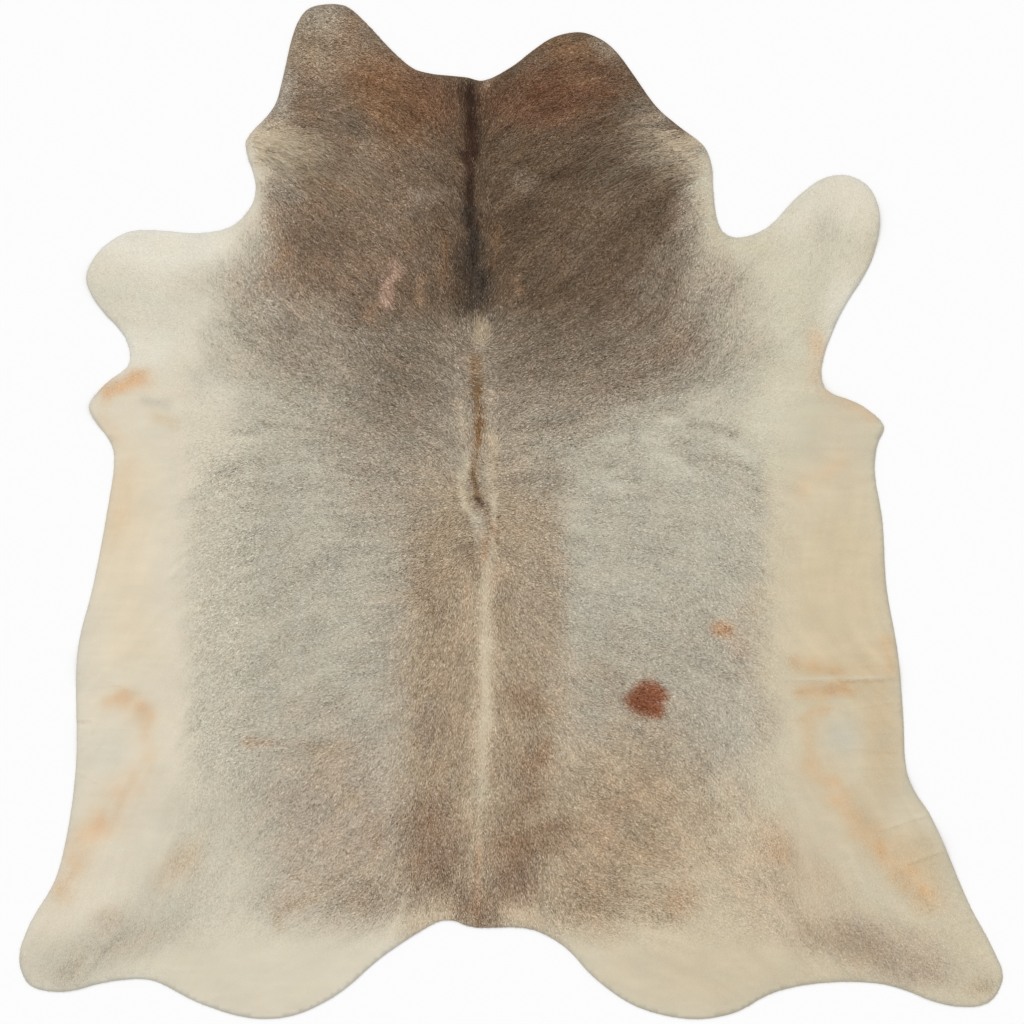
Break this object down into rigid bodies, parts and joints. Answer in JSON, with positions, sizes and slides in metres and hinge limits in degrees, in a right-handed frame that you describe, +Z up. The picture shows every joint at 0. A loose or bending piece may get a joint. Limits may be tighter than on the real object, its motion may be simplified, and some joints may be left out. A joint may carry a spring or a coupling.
{
  "type": "cowhide rug",
  "caption": "Flat cured cowhide with the hair on, trimmed to the animal's outline with cheek, leg and rump lobes, laid hair side up as a floor rug.",
  "frame": {"origin": "centre of the hide's outline box, on the floor under its flesh side", "axes": "+Z up through the hair side, +Y towards the head end along the backbone, +X to the right seen from above"},
  "size_m": [2.165, 2.2346, 0.0114],
  "materials": {
    "hair_on_hide": "short natural hair, soft satin sheen"
  },
  "bodies": {
    "root": {"hide": "hair_on_hide"}
  },
  "joints": []
}
